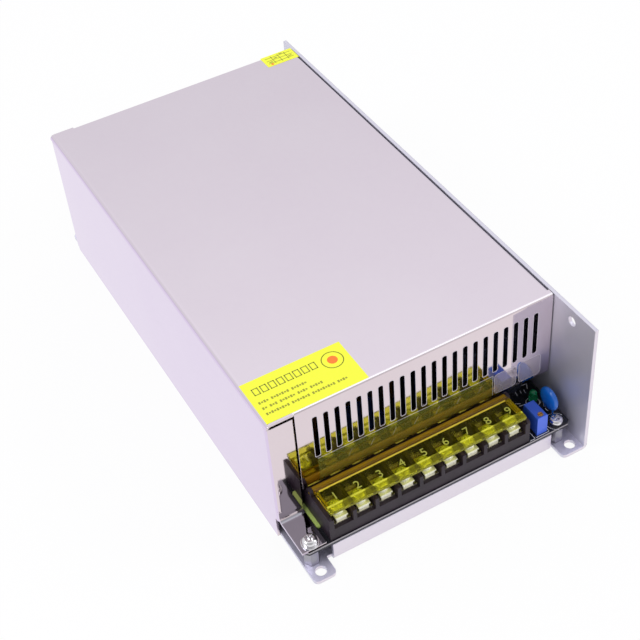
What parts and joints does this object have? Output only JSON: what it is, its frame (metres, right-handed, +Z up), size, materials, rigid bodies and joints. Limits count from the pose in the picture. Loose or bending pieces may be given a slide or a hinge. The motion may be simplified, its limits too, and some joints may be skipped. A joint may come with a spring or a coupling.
{
  "type": "enclosed switching power supply",
  "caption": "Enclosed switching power supply: aluminium tray with a side wall, folded steel lid with a slotted front, covered terminal block and rear fan.",
  "frame": {"origin": "centre of the case's footprint, on the face it stands on", "axes": "+X to the full side wall, +Y from the terminals to the fan, +Z up"},
  "size_m": [0.125, 0.24, 0.065],
  "materials": {
    "tray_aluminium": "satin",
    "lid_steel": "satin",
    "board": "solder mask",
    "film": "matte",
    "zinc_steel": "plated",
    "black_plastic": "moulded",
    "tinned_brass": "tinned",
    "clear_yellow": "clear",
    "blue_plastic": "moulded",
    "brass": "machined",
    "lamp_green": "clear",
    "disc_blue": "dipped",
    "disc_green": "dipped",
    "winding_copper": "enamelled",
    "ferrite": "matte",
    "tape_yellow": "tape",
    "capacitor_sleeve": "sleeve",
    "film_yellow": "moulded",
    "glass_tube": "clear",
    "sink_aluminium": "extruded",
    "pad_grey": "matte",
    "board_green": "solder mask",
    "socket_white": "moulded",
    "shunt_alloy": "bare"
  },
  "bodies": {
    "case": {"chassis_tray": "tray_aluminium", "case_lid": "lid_steel", "circuit_board": "board", "insulating_film": "film", "board_posts": "zinc_steel", "board_screws": "zinc_steel", "lid_screws": "zinc_steel", "rear_screws": "zinc_steel", "terminal_block": "black_plastic", "terminal_contacts": "tinned_brass", "wire_clamps": "zinc_steel", "terminal_screws": "zinc_steel", "trimmer_case": "blue_plastic", "status_lamp": "lamp_green", "disc_capacitor": "disc_blue", "thermistor": "disc_green", "fan_frame": "black_plastic", "fan_stator": "winding_copper", "fan_screws": "zinc_steel", "bulk_capacitors": "capacitor_sleeve", "output_capacitors": "capacitor_sleeve", "transformer_core": "ferrite", "transformer_winding": "tape_yellow", "ring_core": "ferrite", "ring_winding": "winding_copper", "line_choke_core": "ferrite", "line_choke_coils": "winding_copper", "film_capacitor": "film_yellow", "relay": "blue_plastic", "fuse": "glass_tube", "fuse_clips": "tinned_brass", "heat_sink": "sink_aluminium", "switch_transistors": "black_plastic", "rectifiers": "black_plastic", "insulating_pads": "pad_grey", "clamp_bar": "zinc_steel", "clamp_screws": "zinc_steel", "bridge_rectifier": "black_plastic", "control_board": "board_green", "control_chips": "black_plastic", "current_shunt": "shunt_alloy", "fan_socket": "socket_white"},
    "terminal_cover": {"terminal_lid": "clear_yellow"},
    "fan": {"fan_rotor": "black_plastic"},
    "trimmer": {"trimmer_screw": "brass"}
  },
  "joints": [
    {"name": "terminal_lid_hinge", "type": "hinge", "parent": "case", "child": "terminal_cover", "pos_m": [-0.00547, -0.0979, 0.0236], "axis": [-1, 0, 0], "range_deg": [0, 85]},
    {"name": "fan_spin", "type": "hinge", "parent": "case", "child": "fan", "pos_m": [0, 0.1, 0.0323], "axis": [0, 1, 0], "continuous": true},
    {"name": "trimmer_turn", "type": "hinge", "parent": "case", "child": "trimmer", "pos_m": [0.0459, -0.1104, 0.02], "axis": [0, 0, 1], "continuous": true}
  ]
}
